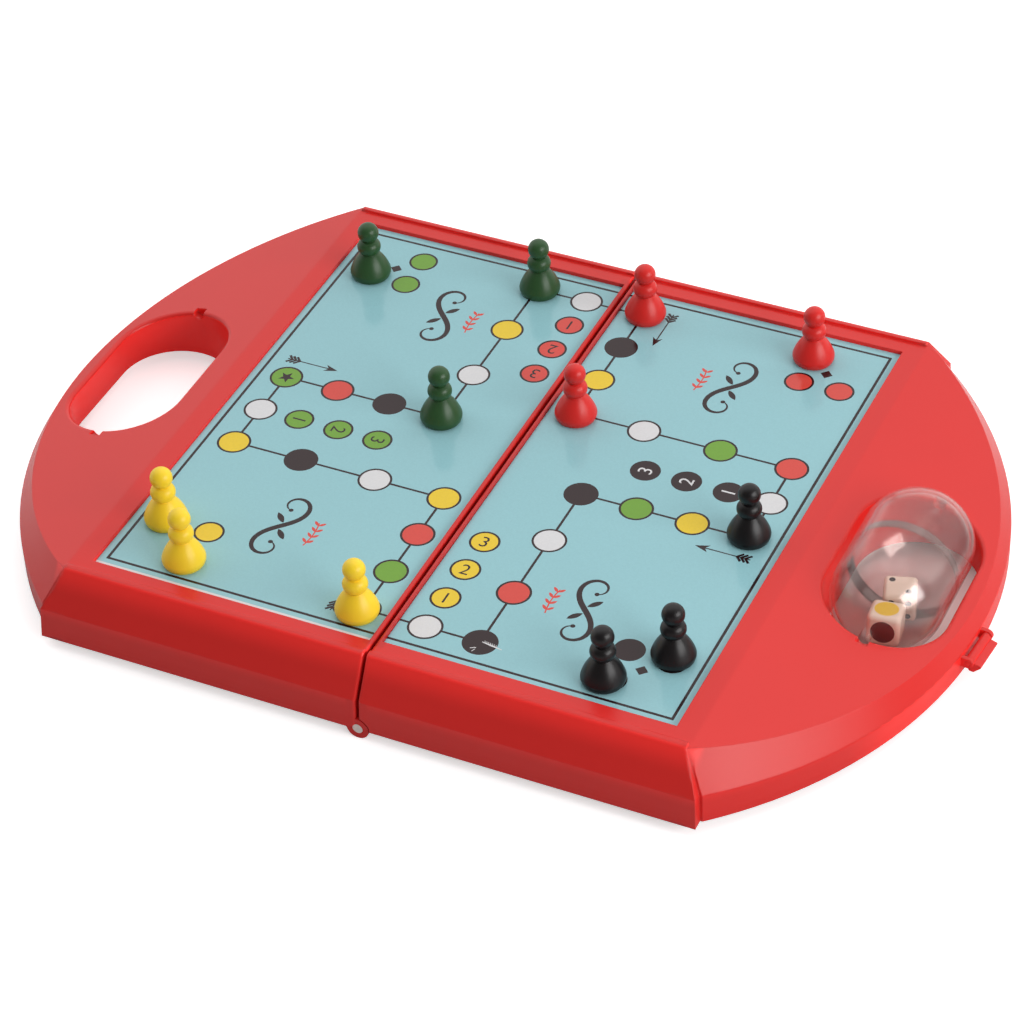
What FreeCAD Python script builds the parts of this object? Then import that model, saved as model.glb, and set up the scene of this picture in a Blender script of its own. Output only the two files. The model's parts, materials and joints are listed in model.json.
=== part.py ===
import FreeCAD, Part
import math
import os

from FreeCAD import Placement, Rotation, Vector

# Folding travel ludo box, open and flat, in millimetres and degrees.
# While the pieces are made, the hinge axis runs along Y through the origin, X is the long direction
# with the right half at positive X, and Z is up. At the end everything moves so that the origin is
# at the middle of the box's underside.

# Case halves: heights above the rim of the hollow side
WALL = 2.0
RIM_GAP = 0.3              # between the two rims when the box is folded
FLAT_HEIGHT = 21.6         # flat top round the board
SHOULDER_HEIGHT = 9.95     # where the upright sides start to lean in
RAIL_LIP = 0.8             # raised lip along the two long edges

# Case halves: plan, measured from the hinge line and the middle line
HINGE_GAP = 0.9            # between the two middle walls
BLOCK_LENGTH = 104.6
BLOCK_DRAFT_LOW = 0.4      # how far the block's end leans in up to the shoulder
BLOCK_DRAFT_HIGH = 5.7     # and from the shoulder to the top
HALF_DEPTH = 107.0
SIDE_DRAFT_LOW = 0.9
SIDE_DRAFT_HIGH = 7.2
RAIL_LIP_WIDTH = 2.0
RAIL_ROUNDING = 2.0
HINGE_ROUNDING = 0.9       # along the edges at the hinge gap

# Sloping arc ends
ARC_START_PAST = 0.7       # the arc starts this far past the block's end
ARC_STEP = 3.7             # and this far inside the long sides
ARC_TOP_STEP = 0.5         # and inside their top edges
ARC_SHOULDER_HEIGHT = 6.9  # shoulder at the arc's furthest point, above the rim
ARC_SHOULDER_TILT = 3.2    # the shoulder rises towards the rails
ARC_BEVEL = 34.5           # lean of the arc's upper band
END_SLOPE_PAST = 0.7       # the top starts to slope down this far past the block's top edge
END_SLOPE = 11.1
ARC_ROUNDING = 1.2         # along the shoulder and the crest

# Hand hole, which on the right half holds the capsule
HOLE_INNER_MARGIN = 8.0    # from where the top starts to slope to the hole
HOLE_OUTER_MARGIN = 7.6    # from the hole to the arc's furthest point
HOLE_SIDE_CLEARANCE = 1.6  # round the capsule's sides
HOLE_END_CLEARANCE = 2.75  # and at its two ends
HOLE_ROUNDING = 1.2

# Board: a printed sheet on a steel plate, in a recess
BOARD_MIDDLE_WALL = 1.25   # from the recess to the hinge gap
BOARD_END_MARGIN = 5.7     # from the recess to the block's top edge
BOARD_SIDE_MARGIN = 5.4    # from the recess to the raised lip
BOARD_RECESS = 1.2         # top of the sheet below the flat top
BOARD_CLEARANCE = 0.15
LEFT_BOARD_EXTRA = 0.9     # the left half's board reaches this much nearer
SHEET_THICKNESS = 0.5
PLATE_THICKNESS = 0.6

# Hinge: two pins, three knuckles each
KNUCKLE_RADIUS = 3.5
KNUCKLE_LENGTH = 8.0
KNUCKLE_GAP = 0.3
KNUCKLE_INSET = 0.4        # outer knuckles end this far inside the long sides
KNUCKLE_RELIEF = 0.5
LUG_OUT = 0.2              # the lug that carries a knuckle stands this far out past it
LUG_HEIGHT = 2.0           # and goes this far up the middle wall
LUG_DROP = 0.5             # and below the hinge axis
PIN_RADIUS = 1.6
PIN_CLEARANCE = 0.05

# Clip on the right arc: outwards is from the arc's wall, heights are above the rim
CLIP_OFFSET = 12.0         # towards the near side from the arc's middle
CLIP_WIDTH = 11.9
CLIP_PIVOT_OUT = 2.0
CLIP_PIVOT_HEIGHT = 4.9
CLIP_BARREL_RADIUS = 1.45
CLIP_TRUNNION_RADIUS = 0.8
CLIP_ARM_OUT = 2.35        # inner face of the arm that hangs from the barrel
CLIP_ARM_THICKNESS = 1.0
CLIP_LIP_OUT = 5.55
CLIP_LIP_HEIGHT = 3.9
CLIP_LIP_THICKNESS = 0.6
HOOK_OUT = 1.6             # tip of the hook, under the catch when the box is folded
HOOK_LOW = 1.1
HOOK_HIGH = 1.75
EAR_THICKNESS = 1.3
EAR_GAP = 0.2
EAR_RADIUS = 1.65

# Catch tongue on the left arc, which reaches past the rim for the clip's hook
TONGUE_GAP = 0.35          # from the other half's wall when the box is folded
TONGUE_THICKNESS = 0.85
TONGUE_ROOT = 3.5
BARB_OUT = 0.75
BARB_HEIGHT = 0.85
BARB_GAP = 0.2             # between barb and hook when the box is folded

# Dice capsule
CAPSULE_RADIUS = 17.2
CAPSULE_LENGTH = 59.0
CAPSULE_WALL = 1.2
CAPSULE_SEAM = -1.0        # seam plane; minus is the near side of the middle
SEAM_GAP = 0.1
SPIGOT_LENGTH = 3.0
SPIGOT_CLEARANCE = 0.05
TRUNNION_RADIUS = 1.8
TRUNNION_LENGTH = 3.8
TRUNNION_SINK = 0.4        # axis below the sloping top
TRUNNION_CLEARANCE = 0.08
NOTCH_LENGTH = 2.8
SEAT_HALF_WIDTH = 5.0
SEAT_DEPTH = 5.5

# Dice on the capsule's floor; turned about the upright axis, tilted about the long axis of the case
DIE_SIZE = 10.0
DIE_ROUNDING = 1.5
DIE_FLOOR_GAP = 0.3
DICE_GAP = 0.4
PIP_RADIUS = 0.95
PIP_DEPTH = 0.35
PIP_SPACING = 2.5
PIPPED_DIE_Y = -1.2
PIPPED_DIE_TURN = 17.0
PIPPED_DIE_TILT = 0.0
COLOUR_DIE_TURN = 8.0
COLOUR_DIE_TILT = -8.0

# Pawns: radius and height of each turn of the profile
PAWN_FOOT_RADIUS = 6.0
PAWN_BELLY_RADIUS = 6.55
PAWN_BELLY_HEIGHT = 2.3
PAWN_SHOULDER_RADIUS = 5.5
PAWN_SHOULDER_HEIGHT = 4.9
PAWN_WAIST_RADIUS = 2.7
PAWN_WAIST_HEIGHT = 8.8
PAWN_COLLAR_RADIUS = 3.8
PAWN_COLLAR_HEIGHT = 11.3
PAWN_NECK_HEIGHT = 13.7
PAWN_HEAD_RADIUS = 3.4
PAWN_HEIGHT = 19.8
MAGNET_RADIUS = 4.0
MAGNET_THICKNESS = 2.5
MAGNET_RECESS = 0.1
MAGNET_CLEARANCE = 0.05

# Track layout that the pawns stand on, from the middle of the printed track
TRACK_LANE = 8.7           # half a step between neighbouring lanes
TRACK_END_MARGIN = 11.6    # from the outermost spots to the recess's ends
TRACK_SIDE_MARGIN = 11.5   # and to its long sides
TRACK_SPLIT = 1.2          # each half of the print moves this far from the hinge line
BASE_STEP = 13.3           # between the spots of a base
PAWN_NUDGES = {            # pawns that stand a little off the middle of their spot
    "yellow_1": (-1.1, 0.0), "yellow_2": (-0.3, -1.3), "yellow_3": (-1.0, -1.9),
    "green_1": (0.3, 1.0), "green_2": (1.1, -0.1), "green_3": (0.2, -0.5),
    "red_1": (0.7, 0.0), "red_2": (0.0, -0.8), "red_3": (0.9, -1.2),
    "black_1": (-0.2, 0.6), "black_2": (-0.5, 1.8), "black_3": (-1.8, -1.0),
}

# Worked out from the above
RIM_Z = RIM_GAP / 2
FLAT_Z = RIM_Z + FLAT_HEIGHT
SHOULDER_Z = RIM_Z + SHOULDER_HEIGHT
LIP_Z = FLAT_Z + RAIL_LIP
MIDDLE_X = HINGE_GAP / 2
SHEET_TOP_Z = FLAT_Z - BOARD_RECESS
PLATE_TOP_Z = SHEET_TOP_Z - SHEET_THICKNESS
RECESS_FLOOR_Z = PLATE_TOP_Z - PLATE_THICKNESS
CEILING_Z = RECESS_FLOOR_Z - WALL
RAIL_TOP_X = BLOCK_LENGTH - BLOCK_DRAFT_LOW - BLOCK_DRAFT_HIGH
RAIL_TOP_Y = HALF_DEPTH - SIDE_DRAFT_LOW - SIDE_DRAFT_HIGH
BOARD_START = MIDDLE_X + BOARD_MIDDLE_WALL
BOARD_END = RAIL_TOP_X - BOARD_END_MARGIN
BOARD_HALF_DEPTH = RAIL_TOP_Y - RAIL_LIP_WIDTH - BOARD_SIDE_MARGIN
HOLE_WIDTH = 2 * (CAPSULE_RADIUS + HOLE_SIDE_CLEARANCE)
HOLE_LENGTH = CAPSULE_LENGTH + 2 * HOLE_END_CLEARANCE
END_SLOPE_START = RAIL_TOP_X + END_SLOPE_PAST
HOLE_X = END_SLOPE_START + HOLE_INNER_MARGIN + HOLE_WIDTH / 2
ARC_END = HOLE_X + HOLE_WIDTH / 2 + HOLE_OUTER_MARGIN
ARC_HALF_DEPTH = HALF_DEPTH - ARC_STEP
ARC_BULGE = ARC_END - BLOCK_LENGTH - ARC_START_PAST
ARC_RADIUS = (ARC_HALF_DEPTH ** 2 + ARC_BULGE ** 2) / (2 * ARC_BULGE)
ARC_CENTRE_X = ARC_END - ARC_RADIUS
BORE_RADIUS = PIN_RADIUS + PIN_CLEARANCE
KNUCKLE_PITCH = KNUCKLE_LENGTH + KNUCKLE_GAP
HINGE_END_Y = HALF_DEPTH - KNUCKLE_INSET
PIN_LENGTH = 3 * KNUCKLE_LENGTH + 2 * KNUCKLE_GAP
SPIN_Z = FLAT_Z - (HOLE_X - END_SLOPE_START) * math.tan(math.radians(END_SLOPE)) - TRUNNION_SINK
CLIP_TURN = -math.degrees(math.asin(CLIP_OFFSET / ARC_RADIUS))
CLIP_PIVOT_U = ARC_RADIUS + CLIP_PIVOT_OUT
CLIP_PIVOT_Z = RIM_Z + CLIP_PIVOT_HEIGHT
CAPSULE_STRAIGHT = CAPSULE_LENGTH / 2 - CAPSULE_RADIUS
CAPSULE_ROOM = CAPSULE_RADIUS - CAPSULE_WALL
SPIGOT_RADIUS = CAPSULE_RADIUS - CAPSULE_WALL / 2
TRACK_ARM = 3 * TRACK_LANE
TRACK_END_X = BOARD_END - TRACK_SPLIT - TRACK_END_MARGIN
TRACK_END_Y = BOARD_HALF_DEPTH - TRACK_SIDE_MARGIN
BASE_X = TRACK_END_X - BASE_STEP
BASE_Y = TRACK_END_Y - BASE_STEP
PAWN_PLACES = {
    "yellow": [(-TRACK_END_X, -BASE_Y), (-BASE_X, -TRACK_END_Y), (-TRACK_LANE, -TRACK_END_Y)],
    "green": [(-TRACK_END_X, BASE_Y), (-TRACK_ARM, TRACK_END_Y), (-TRACK_ARM, TRACK_LANE)],
    "red": [(TRACK_LANE, TRACK_END_Y), (BASE_X, TRACK_END_Y), (TRACK_LANE, TRACK_ARM)],
    "black": [(TRACK_END_X, -TRACK_LANE), (TRACK_END_X, -BASE_Y), (BASE_X, -TRACK_END_Y)],
}

# Room for cutting tools that have to run past a face, and for finding edges by height
PAST = 5.0
TINY = 0.01
REACH = 2 * (ARC_END + HALF_DEPTH)

X_AXIS = Vector(1, 0, 0)
Y_AXIS = Vector(0, 1, 0)
Z_AXIS = Vector(0, 0, 1)


def block_between(low, high):
    """Box from its lowest to its highest corner."""
    size = [top - bottom for bottom, top in zip(low, high)]
    return Part.makeBox(*size, Vector(*low))


def polygon(points):
    return Part.Face(Part.makePolygon(points + points[:1]))


def bar(radius, y_from, y_to, x=0.0, z=0.0):
    """Round bar along Y."""
    return Part.makeCylinder(radius, y_to - y_from, Vector(x, y_from, z), Y_AXIS)


def fuse_all(shapes):
    return shapes[0].multiFuse(shapes[1:]).removeSplitter()


def mirror_x(shape):
    return shape.mirror(Vector(), X_AXIS)


def stadium(width, length, z_from, z_to):
    """Upright prism with round ends, long along Y, at the hand hole."""
    radius = width / 2
    straight = length / 2 - radius
    middle = block_between((HOLE_X - radius, -straight, z_from), (HOLE_X + radius, straight, z_to))
    ends = [
        Part.makeCylinder(radius, z_to - z_from, Vector(HOLE_X, side * straight, z_from))
        for side in (-1, 1)
    ]
    return fuse_all([middle] + ends)


def rail_section(rounded):
    """Half outline of the block across Y: upright below the shoulder, leaning in above it."""
    shoulder_y = HALF_DEPTH - SIDE_DRAFT_LOW
    low_z = RIM_Z if rounded else RIM_Z - PAST
    points = [
        Vector(0, -HALF_DEPTH, low_z), Vector(0, -HALF_DEPTH, RIM_Z), Vector(0, -shoulder_y, SHOULDER_Z),
        Vector(0, -RAIL_TOP_Y, LIP_Z), Vector(0, RAIL_TOP_Y, LIP_Z),
        Vector(0, shoulder_y, SHOULDER_Z), Vector(0, HALF_DEPTH, RIM_Z), Vector(0, HALF_DEPTH, low_z),
    ]
    return polygon(points[1:-1] if rounded else points)


def length_section(rounded):
    """Outline of the block along X, from the middle wall to the leaning end."""
    shoulder_x = BLOCK_LENGTH - BLOCK_DRAFT_LOW
    low_z = RIM_Z if rounded else RIM_Z - PAST
    points = [
        Vector(MIDDLE_X, 0, low_z), Vector(MIDDLE_X, 0, LIP_Z), Vector(RAIL_TOP_X, 0, LIP_Z),
        Vector(shoulder_x, 0, SHOULDER_Z), Vector(BLOCK_LENGTH, 0, RIM_Z), Vector(BLOCK_LENGTH, 0, low_z),
    ]
    return polygon(points[:-1] if rounded else points)


def rail_block():
    """Straight block of one half, rounded along its long top edges and at the hinge."""
    along = rail_section(True).extrude(X_AXIS * BLOCK_LENGTH)
    top_edges = [
        edge for edge in along.Edges
        if edge.BoundBox.ZMin > LIP_Z - TINY and edge.BoundBox.XLength > RAIL_TOP_X
    ]
    along = along.makeFillet(RAIL_ROUNDING, top_edges)
    across = length_section(True)
    across.translate(Y_AXIS * -HALF_DEPTH)
    block = along.common(across.extrude(Y_AXIS * 2 * HALF_DEPTH))
    hinge_edges = [
        edge for edge in block.Edges
        if edge.BoundBox.XMax < MIDDLE_X + TINY and edge.BoundBox.ZMax > RIM_Z + TINY
    ]
    return block.makeFillet(HINGE_ROUNDING, hinge_edges)


def hinge_edge_rounding(half_length):
    """What goes from the flat top's square edge at the hinge to make it round."""
    inner_x = MIDDLE_X + HINGE_ROUNDING
    inner_z = FLAT_Z - HINGE_ROUNDING
    square = block_between((0, -half_length, inner_z), (inner_x, half_length, FLAT_Z))
    return square.cut(bar(HINGE_ROUNDING, -half_length, half_length, inner_x, inner_z))


def block_hollow():
    """Space inside the block, a wall thickness in from its sides and under the board's recess."""
    sides = rail_section(False).makeOffset2D(-WALL, 2).extrude(X_AXIS * BLOCK_LENGTH)
    ends = length_section(False).makeOffset2D(-WALL, 2)
    ends.translate(Y_AXIS * -HALF_DEPTH)
    room = sides.common(ends.extrude(Y_AXIS * 2 * HALF_DEPTH))
    return room.common(block_between((0, -HALF_DEPTH, RIM_Z - PAST), (BLOCK_LENGTH, HALF_DEPTH, CEILING_Z)))


def arc_body(inset, low_z):
    """Sloping end: an upright round wall, a leaning band above its shoulder and a sloping top."""
    height = LIP_Z - low_z
    round_wall = Part.makeCylinder(ARC_RADIUS - inset, height, Vector(ARC_CENTRE_X, 0, low_z))

    tilt = math.radians(ARC_SHOULDER_TILT)
    bevel = math.radians(ARC_BEVEL)
    base_radius = ARC_RADIUS / math.cos(tilt)
    centre = Vector(ARC_CENTRE_X, 0, RIM_Z + ARC_SHOULDER_HEIGHT + base_radius * math.sin(tilt))
    radius = base_radius - inset / math.cos(bevel)
    rise = 2 * FLAT_HEIGHT
    widen = rise * math.tan(bevel)
    band = Part.makeCone(radius + widen, radius - widen, 2 * rise, Vector(0, 0, -rise))
    band.Placement = Placement(centre, Rotation(Y_AXIS, ARC_SHOULDER_TILT))

    under = block_between((-REACH, -REACH, -REACH), (REACH, REACH, -inset))
    under.Placement = Placement(Vector(END_SLOPE_START, 0, FLAT_Z), Rotation(Y_AXIS, END_SLOPE))

    half_depth = ARC_HALF_DEPTH - inset
    half_top = RAIL_TOP_Y - ARC_TOP_STEP - inset
    between_rails = polygon([
        Vector(0, -half_depth, low_z), Vector(0, -half_depth, SHOULDER_Z), Vector(0, -half_top, LIP_Z),
        Vector(0, half_top, LIP_Z), Vector(0, half_depth, SHOULDER_Z), Vector(0, half_depth, low_z),
    ])
    between_rails.translate(X_AXIS * (RAIL_TOP_X + inset))
    return round_wall.common(band).common(under).common(between_rails.extrude(X_AXIS * ARC_END))


def rounded_arc_body():
    """The outside of the sloping end, with its shoulder and its crest rounded."""
    body = arc_body(0.0, RIM_Z)
    long_edges = [
        edge for edge in body.Edges
        if edge.BoundBox.YLength > ARC_HALF_DEPTH and edge.BoundBox.XLength > WALL
        and edge.BoundBox.ZMin > RIM_Z + WALL
    ]
    return body.makeFillet(ARC_ROUNDING, long_edges)


def half_shell():
    """One moulded half at positive X, before its hinge knuckles and clip details."""
    passage = block_between(
        (BOARD_END, -BOARD_HALF_DEPTH, RIM_Z - PAST), (BLOCK_LENGTH + WALL, BOARD_HALF_DEPTH, CEILING_Z))
    hollow = fuse_all([block_hollow(), arc_body(WALL, RIM_Z - PAST), passage])
    tube = stadium(HOLE_WIDTH + 2 * WALL, HOLE_LENGTH + 2 * WALL, RIM_Z - PAST, LIP_Z)
    seat_y = HOLE_LENGTH / 2 + NOTCH_LENGTH + WALL
    seats = block_between(
        (HOLE_X - SEAT_HALF_WIDTH, -seat_y, SPIN_Z - SEAT_DEPTH), (HOLE_X + SEAT_HALF_WIDTH, seat_y, LIP_Z))
    hollow = hollow.cut(tube.fuse(seats))

    shell = fuse_all([rail_block(), rounded_arc_body()]).cut(hollow)
    lip_y = RAIL_TOP_Y - RAIL_LIP_WIDTH
    flat = block_between((0, -lip_y, FLAT_Z), (ARC_END, lip_y, LIP_Z + PAST))
    recess = block_between(
        (BOARD_START, -BOARD_HALF_DEPTH, RECESS_FLOOR_Z), (BOARD_END, BOARD_HALF_DEPTH, LIP_Z + PAST))
    hand_hole = stadium(HOLE_WIDTH, HOLE_LENGTH, RIM_Z - PAST, LIP_Z + PAST)
    shell = shell.cut(fuse_all([flat, recess])).cut(hand_hole).cut(hinge_edge_rounding(lip_y))
    hole_edges = [
        edge for edge in shell.Edges
        if edge.BoundBox.ZMin > SPIN_Z - SEAT_DEPTH
        and abs(edge.BoundBox.Center.x - HOLE_X) < HOLE_WIDTH / 2 + TRUNNION_CLEARANCE
        and abs(edge.BoundBox.Center.y) < HOLE_LENGTH / 2 and edge.BoundBox.YLength > HOLE_WIDTH / 4
    ]
    return shell.makeFillet(HOLE_ROUNDING, hole_edges).cut(trunnion_notches())


def trunnion_notches():
    """Round-bottomed slots, open at the top, at both ends of the hand hole."""
    radius = TRUNNION_RADIUS + TRUNNION_CLEARANCE
    reach = HOLE_LENGTH / 2 + NOTCH_LENGTH
    floor = bar(radius, -reach, reach, HOLE_X, SPIN_Z)
    mouth = block_between((HOLE_X - radius, -reach, SPIN_Z), (HOLE_X + radius, reach, LIP_Z + PAST))
    return floor.fuse(mouth)


def knuckle_span(index):
    """Where knuckle 0, 1 or 2 of the near hinge starts and ends along Y; 0 is the outer one."""
    start = -HINGE_END_Y + index * KNUCKLE_PITCH
    return start, start + KNUCKLE_LENGTH


def both_sides(y_from, y_to, radius):
    """The same bar at the near and the far hinge."""
    return [bar(radius, y_from, y_to), bar(radius, -y_to, -y_from)]


def lugs(y_from, y_to):
    """Square roots that join a near and a far knuckle to the middle wall."""
    return [
        block_between(
            (MIDDLE_X, low, -LUG_DROP), (KNUCKLE_RADIUS + LUG_OUT, low + y_to - y_from, RIM_Z + LUG_HEIGHT))
        for low in (y_from, -y_to)
    ]


def hinged(shell, own, other):
    """Adds a half's own knuckles, with room for the other half's, and bores them for the pins."""
    for index in other:
        start, end = knuckle_span(index)
        outer = start - (PAST if index == 0 else KNUCKLE_GAP)
        room = both_sides(outer, end + KNUCKLE_GAP, KNUCKLE_RADIUS + KNUCKLE_RELIEF)
        shell = shell.cut(Part.makeCompound(room))
    knuckles = []
    for index in own:
        start, end = knuckle_span(index)
        knuckles += both_sides(start, end, KNUCKLE_RADIUS) + lugs(start, end)
    bores = both_sides(-HALF_DEPTH - PAST, -HINGE_END_Y + PIN_LENGTH + KNUCKLE_GAP, BORE_RADIUS)
    bores = Part.makeCompound(bores)
    return fuse_all([shell.cut(bores)] + [knuckle.cut(bores) for knuckle in knuckles])


def at_clip(shape):
    """Moves what was drawn at the arc's middle, with X outwards from its centre, to the clip's place."""
    placed = shape.copy()
    placed.rotate(Vector(), Z_AXIS, CLIP_TURN)
    placed.translate(Vector(ARC_CENTRE_X, 0, 0))
    return placed


def clip_ears():
    """Two ears on the right arc that hold the clip's trunnions."""
    inner = CLIP_WIDTH / 2 + EAR_GAP
    ears = []
    for side in (-1, 1):
        low, high = sorted((side * inner, side * (inner + EAR_THICKNESS)))
        nose = bar(EAR_RADIUS, low, high, CLIP_PIVOT_U, CLIP_PIVOT_Z)
        root = block_between(
            (ARC_RADIUS - WALL / 2, low, CLIP_PIVOT_Z - EAR_RADIUS),
            (CLIP_PIVOT_U, high, CLIP_PIVOT_Z + EAR_RADIUS))
        ears.append(nose.fuse(root))
    reach = inner + EAR_THICKNESS + PAST
    bore = bar(CLIP_TRUNNION_RADIUS + PIN_CLEARANCE, -reach, reach, CLIP_PIVOT_U, CLIP_PIVOT_Z)
    room = block_between((0, -reach, -REACH), (ARC_RADIUS, reach, REACH))
    return [at_clip(ear.cut(bore.cut(room))) for ear in ears]


def latch_clip():
    """Swinging clip: barrel and trunnions, an arm with a finger lip, and a hook that points inwards."""
    half = CLIP_WIDTH / 2

    def at(out, height):
        return Vector(ARC_RADIUS + out, -half, RIM_Z + height)

    arm_outside = CLIP_ARM_OUT + CLIP_ARM_THICKNESS
    lip_root = CLIP_PIVOT_HEIGHT - CLIP_BARREL_RADIUS / 3
    outline = polygon([
        at(CLIP_ARM_OUT, CLIP_PIVOT_HEIGHT), at(CLIP_ARM_OUT, HOOK_HIGH), at(HOOK_OUT, HOOK_HIGH),
        at((HOOK_OUT + CLIP_ARM_OUT) / 2, HOOK_LOW), at(arm_outside, HOOK_LOW),
        at(CLIP_LIP_OUT, CLIP_LIP_HEIGHT - CLIP_LIP_THICKNESS), at(CLIP_LIP_OUT, CLIP_LIP_HEIGHT),
        at(arm_outside, lip_root), at(CLIP_PIVOT_OUT, CLIP_PIVOT_HEIGHT),
    ])
    arm = outline.extrude(Y_AXIS * CLIP_WIDTH)
    barrel = bar(CLIP_BARREL_RADIUS, -half, half, CLIP_PIVOT_U, CLIP_PIVOT_Z)
    reach = half + EAR_GAP + EAR_THICKNESS
    trunnions = bar(CLIP_TRUNNION_RADIUS, -reach, reach, CLIP_PIVOT_U, CLIP_PIVOT_Z)
    return at_clip(fuse_all([arm, barrel, trunnions]))


def catch_tongue():
    """Tongue that reaches past the rim, with a barb for the hook; the left half has it, mirrored."""
    half = CLIP_WIDTH / 2
    barb_base = -(HOOK_HIGH + BARB_GAP + RIM_GAP)

    def at(out, height):
        return Vector(ARC_RADIUS + out, -half, RIM_Z + height)

    outside = TONGUE_GAP + TONGUE_THICKNESS
    outline = polygon([
        at(-WALL / 2, RIM_GAP), at(TONGUE_GAP, RIM_GAP), at(TONGUE_GAP, barb_base - BARB_HEIGHT),
        at(outside, barb_base - BARB_HEIGHT), at(outside + BARB_OUT, barb_base), at(outside, barb_base),
        at(outside, TONGUE_ROOT - outside), at(-WALL / 2, TONGUE_ROOT),
    ])
    return at_clip(outline.extrude(Y_AXIS * CLIP_WIDTH))


def board_layer(bottom_z, top_z, extra=0.0):
    """Flat layer of the right half's board, with clearance all round in the recess."""
    return block_between(
        (BOARD_START + BOARD_CLEARANCE, -BOARD_HALF_DEPTH - extra + BOARD_CLEARANCE, bottom_z),
        (BOARD_END - BOARD_CLEARANCE, BOARD_HALF_DEPTH - BOARD_CLEARANCE, top_z))


def capsule_form(radius, side, length):
    """Solid half of a capsule: a dome on the near (-1) or far (1) side and a tube towards the middle."""
    dome_y = side * CAPSULE_STRAIGHT
    tube = bar(radius, *sorted((dome_y, dome_y - side * length)), HOLE_X, SPIN_Z)
    return fuse_all([Part.makeSphere(radius, Vector(HOLE_X, dome_y, SPIN_Z)), tube])


def trunnion(side):
    tip = CAPSULE_LENGTH / 2
    ends = sorted((side * (tip - CAPSULE_WALL / 2), side * (tip + TRUNNION_LENGTH)))
    return bar(TRUNNION_RADIUS, *ends, HOLE_X, SPIN_Z)


def capsule_halves():
    """Two clear halves; the near one has a spigot that goes into the far one at the seam."""
    near_tube = CAPSULE_STRAIGHT + CAPSULE_SEAM - SEAM_GAP
    far_tube = CAPSULE_STRAIGHT - CAPSULE_SEAM
    spigot_end = CAPSULE_SEAM + SPIGOT_LENGTH
    spigot = bar(SPIGOT_RADIUS, CAPSULE_SEAM - CAPSULE_WALL, spigot_end, HOLE_X, SPIN_Z)
    near = fuse_all([capsule_form(CAPSULE_RADIUS, -1, near_tube), spigot, trunnion(-1)])
    near = near.cut(capsule_form(CAPSULE_ROOM, -1, CAPSULE_LENGTH))

    socket = bar(SPIGOT_RADIUS + SPIGOT_CLEARANCE, CAPSULE_SEAM - PAST, spigot_end + SEAM_GAP, HOLE_X, SPIN_Z)
    far = fuse_all([capsule_form(CAPSULE_RADIUS, 1, far_tube), trunnion(1)])
    return near, far.cut(fuse_all([capsule_form(CAPSULE_ROOM, 1, CAPSULE_LENGTH), socket]))


def rounded_cube():
    half = DIE_SIZE / 2
    cube = block_between((-half,) * 3, (half,) * 3)
    return cube.makeFillet(DIE_ROUNDING, cube.Edges)


def pip_places(count):
    """Places of a face's pips, in the face's own plane."""
    diagonal = [(-1, -1), (1, 1)]
    other_diagonal = [(-1, 1), (1, -1)]
    middle_pair = [(-1, 0), (1, 0)]
    places = [(0, 0)] if count % 2 else []
    places += diagonal if count >= 2 else []
    places += other_diagonal if count >= 4 else []
    places += middle_pair if count == 6 else []
    return [(PIP_SPACING * across, PIP_SPACING * along) for across, along in places]


def pipped_die():
    """Die with shallow round pips; opposite faces add up to seven."""
    face_turns = {
        2: Rotation(Z_AXIS, 90), 5: Rotation(X_AXIS, 180), 4: Rotation(X_AXIS, 90),
        3: Rotation(X_AXIS, -90), 1: Rotation(Y_AXIS, 90), 6: Rotation(Y_AXIS, -90),
    }
    ball_radius = (PIP_RADIUS ** 2 + PIP_DEPTH ** 2) / (2 * PIP_DEPTH)
    ball_height = DIE_SIZE / 2 - PIP_DEPTH + ball_radius
    balls = [
        Part.makeSphere(ball_radius, turn.multVec(Vector(across, along, ball_height)))
        for count, turn in face_turns.items() for across, along in pip_places(count)
    ]
    return rounded_cube().cut(Part.makeCompound(balls))


def die_corners(turn):
    """Middles of a turned die's eight rounded corners, from the die's own middle."""
    core = DIE_SIZE / 2 - DIE_ROUNDING
    ends = (-core, core)
    return [turn.multVec(Vector(x, y, z)) for x in ends for y in ends for z in ends]


def die_turn(turn, tilt):
    return Rotation(Z_AXIS, turn) * Rotation(X_AXIS, tilt)


def die_half_span(turn):
    """How far a turned die reaches along Y from its middle."""
    return max(corner.y for corner in die_corners(turn)) + DIE_ROUNDING


def in_capsule(die, y, turn):
    """Lowers a turned die until it nearly touches the capsule's round floor or dome."""
    radius = CAPSULE_ROOM - DIE_FLOOR_GAP - DIE_ROUNDING
    drops = []
    for corner in die_corners(turn):
        into_dome = max(abs(y + corner.y) - CAPSULE_STRAIGHT, 0.0)
        drops.append(math.sqrt(radius ** 2 - corner.x ** 2 - into_dome ** 2) + corner.z)
    die.Placement = Placement(Vector(HOLE_X, y, SPIN_Z - min(drops)), turn)
    return die


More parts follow.
